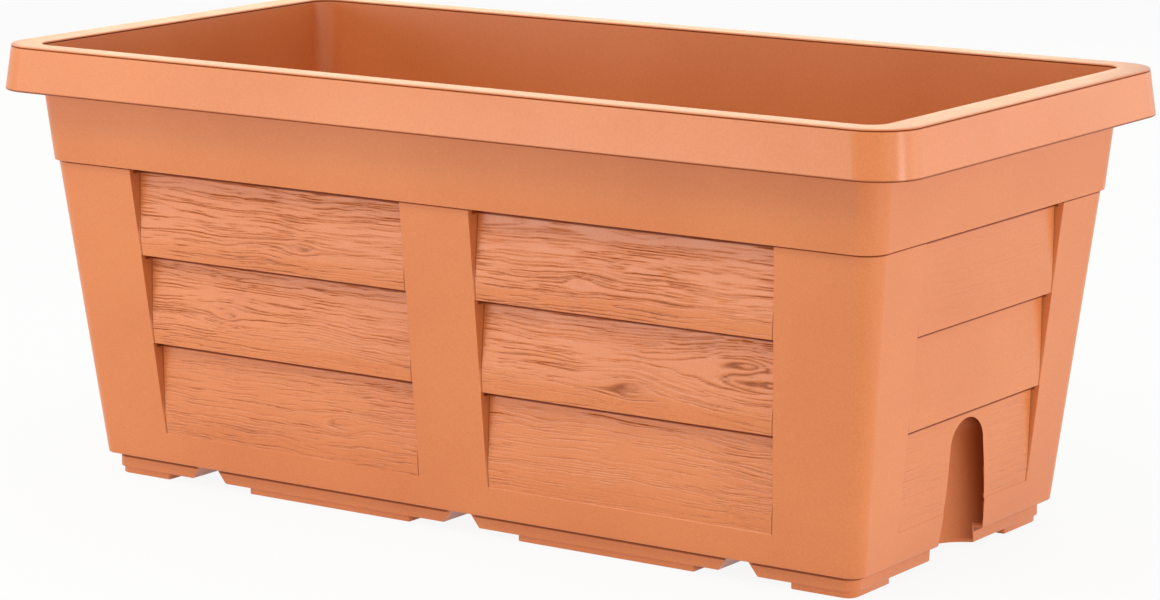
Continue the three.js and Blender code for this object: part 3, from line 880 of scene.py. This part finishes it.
def plug_profile():
    """Radii and heights of a plug, from inside its hollow stem round to the middle of its head."""
    stem = HOLE_RADIUS - PLUG_CLEARANCE
    head = HOLE_RADIUS + PLUG_FLANGE
    foot = -(PLUG_GAP + WALL + PLUG_BELOW_FLOOR)
    bore = stem - PLUG_STEM_WALL
    hollow = [(bore, -0.1), (bore, foot + 0.3), (bore + 0.3, foot)]
    stem_foot = [(stem - 0.6, foot), (stem - 0.2, foot + 0.15), (stem, foot + 0.6)]
    under_head = [(stem, -0.5), (stem + 0.15, -0.15), (stem + 0.5, 0), (head - 0.25, 0)]
    edge = []
    for cos, sin in quarter_turn(5):
        edge.append((head - PLUG_EDGE * (1 - cos), PLUG_HEAD - PLUG_EDGE * (1 - sin)))
    groove = [(head - 2.6, PLUG_HEAD - HEAD_GROOVE), (head - 3.2, PLUG_HEAD - HEAD_GROOVE)]
    top = [(head - 2.2, PLUG_HEAD), *groove, (head - 3.6, PLUG_HEAD), (2.0, PLUG_HEAD)]
    return hollow + stem_foot + under_head + edge + top


def tab_rings():
    """The tab to pull the plug by: a rounded arch across the head."""
    rings = []
    for y, drawn in ((-1, 0.8), (-0.86, 0.25), (-0.6, 0), (0.6, 0), (0.86, 0.25), (1, 0.8)):
        angles = np.linspace(0, math.pi, 25)
        x = (TAB_LENGTH / 2 - drawn) * np.cos(angles)
        z = PLUG_HEAD / 2 + (TAB_HEIGHT - drawn) * np.sin(angles)
        rings.append(np.stack([x, np.full_like(x, y * TAB_THICKNESS / 2), z], axis=1))
    return rings


def make_plugs():
    plug = object_from("plug", *skin(turned_rings(plug_profile())))
    combine(plug, object_from("tab", *skin(tab_rings())), "UNION")
    pieces = []
    for number, (x, y) in enumerate(drain_places(), start=1):
        mesh = plug.data.copy()
        mesh.transform(Matrix.Translation(Vector((x, y, FLOOR_TOP + PLUG_GAP)) * MM))
        piece = bpy.data.objects.new(f"plug_piece_{number}", mesh)
        bpy.context.scene.collection.objects.link(piece)
        pieces.append(piece)
    bpy.data.objects.remove(plug)
    return pieces


# ---------------------------------------------------------------- materials

TONE_SCALE, GLOSS_SCALE, SPECKLE_SCALE, SKIN_SCALE = 9, 35, 900, 1400  # noise cells per metre
SPECKLE_DARK, SPECKLE_LIGHT, SPECKLE_SHARE = 0.92, 1.05, 0.6
SMOOTHER, ROUGHER = 0.05, 0.07  # spread of the roughness to either side
# specular level where no shade is painted and under full painted shade, which dulls the sheen there
UNSHADED_SHEEN, SHADED_SHEEN = 0.5, 0.05
SKIN_STRENGTH, SKIN_DEPTH = 0.25, 0.1 * MM


def linear(r, g, b):
    """A colour given as it shows on screen, 0 to 255, in the linear values that shaders take."""
    return tuple(((c / 255 + 0.055) / 1.055) ** 2.4 if c > 10 else c / 255 / 12.92 for c in (r, g, b))


def moulded_plastic(name, pale, deep, shade_colour, roughness):
    """Satin plastic: faint clouds of tone, fine speckle, darker and duller where shade is painted on its
    points, and a skin that is slightly uneven."""
    material = bpy.data.materials.new(name)
    material.use_nodes = True
    nodes, links = material.node_tree.nodes, material.node_tree.links
    shader = nodes["Principled BSDF"]
    place = nodes.new("ShaderNodeTexCoord")

    def clouds(scale, detail):
        texture = nodes.new("ShaderNodeTexNoise")
        texture.inputs["Scale"].default_value = scale
        texture.inputs["Detail"].default_value = detail
        links.new(place.outputs["Object"], texture.inputs["Vector"])
        return texture.outputs["Fac"]

    def ramp(source, low, low_colour, high, high_colour):
        node = nodes.new("ShaderNodeValToRGB")
        first, second = node.color_ramp.elements
        first.position, first.color = low, (*low_colour, 1)
        second.position, second.color = high, (*high_colour, 1)
        links.new(source, node.inputs["Fac"])
        return node.outputs["Color"]

    def mix(blend, first, second):
        node = nodes.new("ShaderNodeMix")
        node.data_type = "RGBA"
        node.blend_type = blend
        links.new(first, node.inputs["A"])
        if isinstance(second, tuple):
            node.inputs["B"].default_value = (*second, 1)
        else:
            links.new(second, node.inputs["B"])
        return node

    def ranged(source, low, high, target):
        node = nodes.new("ShaderNodeMapRange")
        node.inputs["To Min"].default_value = low
        node.inputs["To Max"].default_value = high
        links.new(source, node.inputs["Value"])
        links.new(node.outputs["Result"], shader.inputs[target])

    tone = ramp(clouds(TONE_SCALE, 3), 0.3, linear(*deep), 0.7, linear(*pale))
    speckle = ramp(clouds(SPECKLE_SCALE, 2), 0.35, [SPECKLE_DARK] * 3, 0.65, [SPECKLE_LIGHT] * 3)
    speckled = mix("MULTIPLY", tone, speckle)
    speckled.inputs["Factor"].default_value = SPECKLE_SHARE
    # the painted shade on the points darkens the colour and dulls the sheen
    dirt = nodes.new("ShaderNodeAttribute")
    dirt.attribute_name = "dirt"
    shaded_colour = mix("MIX", speckled.outputs["Result"], linear(*shade_colour))
    links.new(dirt.outputs["Fac"], shaded_colour.inputs["Factor"])
    links.new(shaded_colour.outputs["Result"], shader.inputs["Base Color"])
    ranged(clouds(GLOSS_SCALE, 4), roughness - SMOOTHER, roughness + ROUGHER, "Roughness")
    ranged(dirt.outputs["Fac"], UNSHADED_SHEEN, SHADED_SHEEN, "Specular IOR Level")

    bump = nodes.new("ShaderNodeBump")
    bump.inputs["Strength"].default_value = SKIN_STRENGTH
    bump.inputs["Distance"].default_value = SKIN_DEPTH
    links.new(clouds(SKIN_SCALE, 2), bump.inputs["Height"])
    links.new(bump.outputs["Normal"], shader.inputs["Normal"])
    material.diffuse_color = (*linear(*pale), 1)
    return material


# ---------------------------------------------------------------- the object

PLASTICS = {  # by slot: its clouds' pale and deep tones, its colour under full painted shade, and its roughness
    "tub_plastic": moulded_plastic("tub_plastic", (222, 132, 75), (214, 123, 67), (118, 50, 22), 0.31),
    "plug_plastic": moulded_plastic("plug_plastic", (176, 92, 52), (166, 84, 46), (110, 50, 26), 0.45),
}
SHARP_ANGLE = 38  # degrees, above which an edge stays sharp


def dress(piece, node, slot):
    """Finishes a piece and puts it in its node's place."""
    piece.data.materials.clear()
    piece.data.materials.append(PLASTICS[slot])
    piece.data.shade_smooth()
    piece.data.set_sharp_from_angle(angle=math.radians(SHARP_ANGLE))
    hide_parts(node)
    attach(piece, node)


dress(make_tub(), "tub", "tub_plastic")
for number, plug in enumerate(make_plugs(), start=1):
    dress(plug, f"drain_plug_{number}", "plug_plastic")

# ---------------------------------------------------------------- floor, sky and lamps

FLOOR_HALF = 6  # metres
FLOOR_GREY, FLOOR_ROUGHNESS = 0.86, 0.9
FLOOR_LIFT = 0.91  # how far the floor is lifted towards white for the camera; the rest shows the shadow


def share_of_rays(nodes, links):
    """1 for rays that show a surface to the camera, straight, by gloss or through glass, 0 for others."""
    rays = nodes.new("ShaderNodeLightPath")
    share = rays.outputs["Is Camera Ray"]
    for kind in ("Is Glossy Ray", "Is Transmission Ray"):
        either = nodes.new("ShaderNodeMath")
        either.operation = "MAXIMUM"
        links.new(share, either.inputs[0])
        links.new(rays.outputs[kind], either.inputs[1])
        share = either.outputs["Value"]
    return share


def pale_floor():
    """A matt pale floor that the camera sees lifted towards white, with the object's soft shadow kept."""
    turns = ((-1, -1), (1, -1), (1, 1), (-1, 1))
    corners = np.array([(x * FLOOR_HALF, y * FLOOR_HALF, 0) for x, y in turns], float)
    floor = object_from("floor", corners, [(0, 1, 2, 3)])
    material = bpy.data.materials.new("floor")
    material.use_nodes = True
    nodes, links = material.node_tree.nodes, material.node_tree.links
    shader = nodes["Principled BSDF"]
    shader.inputs["Base Color"].default_value = (FLOOR_GREY, FLOOR_GREY, FLOOR_GREY, 1)
    shader.inputs["Roughness"].default_value = FLOOR_ROUGHNESS
    white = nodes.new("ShaderNodeEmission")
    white.inputs["Strength"].default_value = 1.0
    lift = nodes.new("ShaderNodeMath")
    lift.operation = "MULTIPLY"
    lift.inputs[1].default_value = FLOOR_LIFT
    mix = nodes.new("ShaderNodeMixShader")
    links.new(share_of_rays(nodes, links), lift.inputs[0])
    links.new(lift.outputs["Value"], mix.inputs["Fac"])
    links.new(shader.outputs["BSDF"], mix.inputs[1])
    links.new(white.outputs["Emission"], mix.inputs[2])
    links.new(mix.outputs["Shader"], nodes["Material Output"].inputs["Surface"])
    floor.data.materials.append(material)


def white_sky(strength):
    """A sky that is white to the camera and in reflections, and lights the object at its own strength."""
    world = bpy.data.worlds.new("studio")
    world.use_nodes = True
    bpy.context.scene.world = world
    nodes, links = world.node_tree.nodes, world.node_tree.links
    background = nodes["Background"]
    background.inputs["Color"].default_value = (1, 1, 1, 1)
    level = nodes.new("ShaderNodeMapRange")
    level.inputs["To Min"].default_value = strength
    level.inputs["To Max"].default_value = 1.0
    links.new(share_of_rays(nodes, links), level.inputs["Value"])
    links.new(level.outputs["Result"], background.inputs["Strength"])


CENTRE = Vector((0, 0, 0.13))  # what the lamps are aimed at, in metres


def softbox(name, azimuth, elevation, distance, width, height, radiance, colour=(1, 1, 1)):
    """An area lamp aimed at the object; azimuth 0 is in front, 90 at its right end. Radiance 1 is white."""
    a, e = math.radians(azimuth), math.radians(elevation)
    back = Vector((math.sin(a) * math.cos(e), -math.cos(a) * math.cos(e), math.sin(e)))
    lamp = bpy.data.lights.new(name, "AREA")
    lamp.shape = "RECTANGLE"
    lamp.size, lamp.size_y = width, height
    lamp.energy = radiance * math.pi * width * height
    lamp.color = colour
    obj = bpy.data.objects.new(name, lamp)
    obj.location = CENTRE + back * distance
    obj.rotation_euler = (-back).to_track_quat("-Z", "Y").to_euler()
    bpy.context.scene.collection.objects.link(obj)


# Angles in degrees and lengths in metres
pale_floor()
white_sky(0.58)
softbox("front_left", -50, 6, 1.25, 0.5, 0.5, 1.7)
softbox("skirt_strip", -25, 1.5, 1.6, 0.6, 0.12, 13)
softbox("left_high", -30, 46, 2.0, 0.8, 0.6, 3.0)
softbox("front_high", -8, 55, 1.9, 1.6, 1.0, 1.5)
softbox("front_right", 56, 8, 1.8, 0.4, 0.5, 1.2)
softbox("right_end", 112, 6, 1.9, 0.8, 0.6, 2.3)
softbox("end_strip", 140, 2, 1.6, 1.1, 0.3, 1.0)
softbox("corner_strip", 82, 2, 1.7, 0.14, 0.25, 54)
softbox("back_high", 180, 45, 1.9, 1.6, 1.0, 0.3)
softbox("overhead", 190, 84, 1.7, 1.6, 1.2, 0.7, (1.0, 1.0, 0.82))
softbox("rim_light", -145, 12, 2.0, 1.2, 0.4, 1.7, (1.0, 1.0, 0.55))

# ---------------------------------------------------------------- camera, as in the photograph

PICTURE_WIDTH = 1160  # pixels
SENSOR_WIDTH = 36
FOCAL_PIXELS = 3918.9
YAW, PITCH = math.radians(34.51), math.radians(11.117)
TARGET = Vector((8.58, 0, 114.75)) * MM
DISTANCE = 2217.05 * MM

camera = bpy.data.objects.new("camera", bpy.data.cameras.new("camera"))
bpy.context.scene.collection.objects.link(camera)
forward = Vector((-math.sin(YAW) * math.cos(PITCH), math.cos(YAW) * math.cos(PITCH), -math.sin(PITCH)))
camera.location = TARGET - forward * DISTANCE
camera.rotation_euler = forward.to_track_quat("-Z", "Y").to_euler()
camera.data.sensor_width = SENSOR_WIDTH
camera.data.lens = FOCAL_PIXELS / PICTURE_WIDTH * camera.data.sensor_width
bpy.context.scene.camera = camera
bpy.context.scene.view_settings.view_transform = "Standard"
